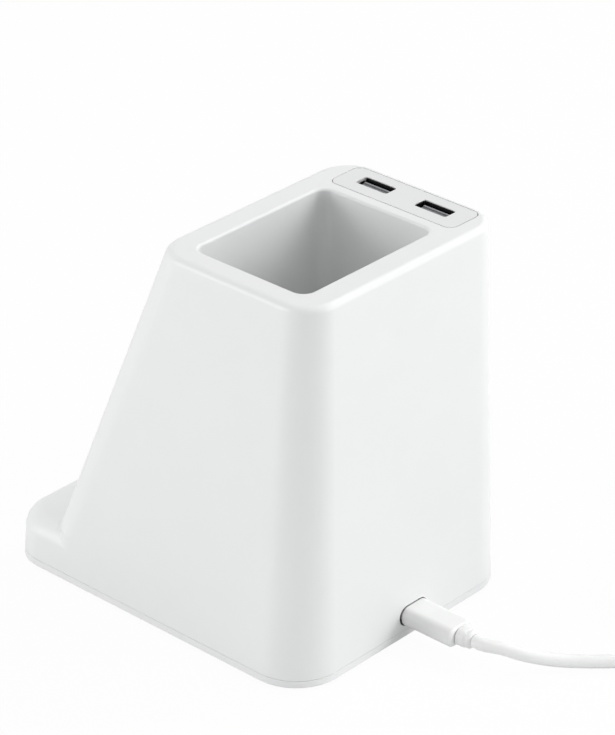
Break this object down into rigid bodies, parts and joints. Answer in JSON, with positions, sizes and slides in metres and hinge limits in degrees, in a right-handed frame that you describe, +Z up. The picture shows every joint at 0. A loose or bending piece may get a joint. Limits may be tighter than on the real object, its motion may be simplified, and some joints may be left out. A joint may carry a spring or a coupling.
{
  "type": "wireless charger pen holder",
  "caption": "Desk stand with a sloped wireless charging face and ledge, a deep rectangular pen pocket, a strip of USB ports in the top and a plugged-in charging lead.",
  "frame": {"origin": "centre of the footprint at the underside of the feet, without the lead", "axes": "+Z up, -Y out of the sloped charging face, +Y out of the back wall with the power inlet, -X towards the port strip"},
  "size_m": [0.1737, 0.2207, 0.1265],
  "materials": {
    "housing_abs": "moulded ABS, white, fine satin",
    "cover_abs": "moulded ABS, white, satin",
    "lead_tpe": "moulded TPE, white, satin",
    "foot_rubber": "matt silicone rubber",
    "steel": "nickel-plated steel",
    "nylon": "moulded nylon",
    "board_laminate": "glass-epoxy laminate with green mask",
    "chip_epoxy": "black moulding epoxy",
    "ferrite": "sintered ferrite, dark grey",
    "aluminium": "drawn aluminium can",
    "enamelled_copper": "enamelled copper wire",
    "harness_sheath": "black PVC sheath",
    "coil_lead_sheath": "red PVC sheath",
    "tie": "soft white strap"
  },
  "bodies": {
    "stand": {"housing": "housing_abs", "base_cover": "cover_abs", "foot_front_left": "foot_rubber", "foot_front_right": "foot_rubber", "foot_back_left": "foot_rubber", "foot_back_right": "foot_rubber", "base_screw_front_left": "steel", "base_screw_front_right": "steel", "base_screw_back_left": "steel", "base_screw_back_right": "steel", "port_strip": "housing_abs", "usb_a_shell_front": "steel", "usb_a_shell_rear": "steel", "usb_a_tongue_front": "nylon", "usb_a_tongue_rear": "nylon", "port_board": "board_laminate", "port_board_header": "nylon", "charging_coil": "enamelled_copper", "ferrite_plate": "ferrite", "coil_carrier": "nylon", "coil_sensor": "chip_epoxy", "carrier_screw_lower_left": "steel", "carrier_screw_lower_right": "steel", "carrier_screw_upper_left": "steel", "carrier_screw_upper_right": "steel", "main_board": "board_laminate", "board_screw_front_left": "steel", "board_screw_front_right": "steel", "board_screw_back_left": "steel", "board_screw_back_right": "steel", "charge_controller": "chip_epoxy", "port_controller": "chip_epoxy", "power_choke": "ferrite", "resonance_choke": "ferrite", "input_capacitor": "aluminium", "output_capacitor": "aluminium", "port_header": "nylon", "coil_header": "nylon", "port_harness": "harness_sheath", "coil_lead": "coil_lead_sheath", "usb_c_shell": "steel", "usb_c_tongue": "nylon"},
    "lead": {"lead_plug": "lead_tpe", "lead_plug_shell": "steel", "lead_relief": "lead_tpe", "lead_cable": "lead_tpe", "lead_wound": "lead_tpe", "lead_tie": "tie", "lead_tail": "lead_tpe", "far_plug_relief": "lead_tpe", "far_plug": "lead_tpe", "far_plug_shell": "steel", "far_plug_insert": "nylon"}
  },
  "joints": [
    {"name": "lead_pull", "type": "slide", "parent": "stand", "child": "lead", "axis": [0, 1, 0], "range_m": [0, 0.008]}
  ]
}
